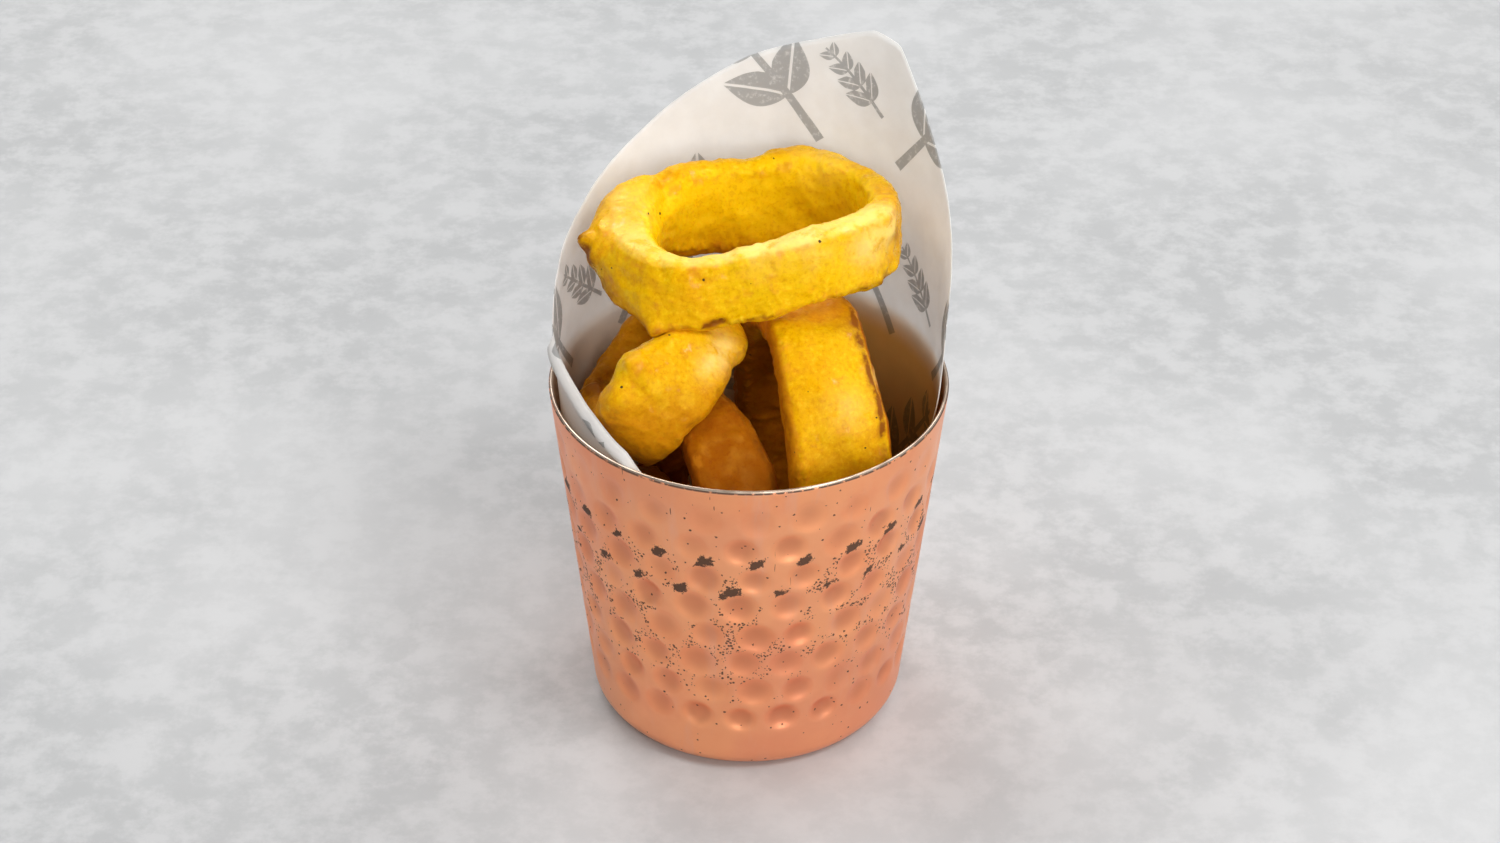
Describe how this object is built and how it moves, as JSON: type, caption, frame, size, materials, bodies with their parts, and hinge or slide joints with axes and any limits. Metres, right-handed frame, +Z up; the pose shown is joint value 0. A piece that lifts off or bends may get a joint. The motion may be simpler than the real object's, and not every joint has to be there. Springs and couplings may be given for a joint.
{
  "type": "battered onion rings in a copper serving cup",
  "caption": "Fried battered onion rings heaped in a small tapered hammered-copper cup that is lined with a tall rolled sheet of printed paper.",
  "frame": {"origin": "centre of the cup's flat foot, on the surface it stands on", "axes": "+Z up along the cup's axis; -Y is the front, where the paper is low and the rings show; +X is the side on which the paper rises to its peak"},
  "size_m": [0.085, 0.0866, 0.1438],
  "materials": {
    "copper": "hammered copper plate, brushed, with worn specks that show darker metal; steel inside and at the rim",
    "paper": null,
    "batter": "fried batter, golden yellow, browned at edges, slightly oily"
  },
  "bodies": {
    "root": {"cup": "copper", "paper": "paper", "ring_top": "batter", "ring_left": "batter", "ring_middle": "batter", "ring_right": "batter", "ring_low": "batter"}
  },
  "joints": []
}
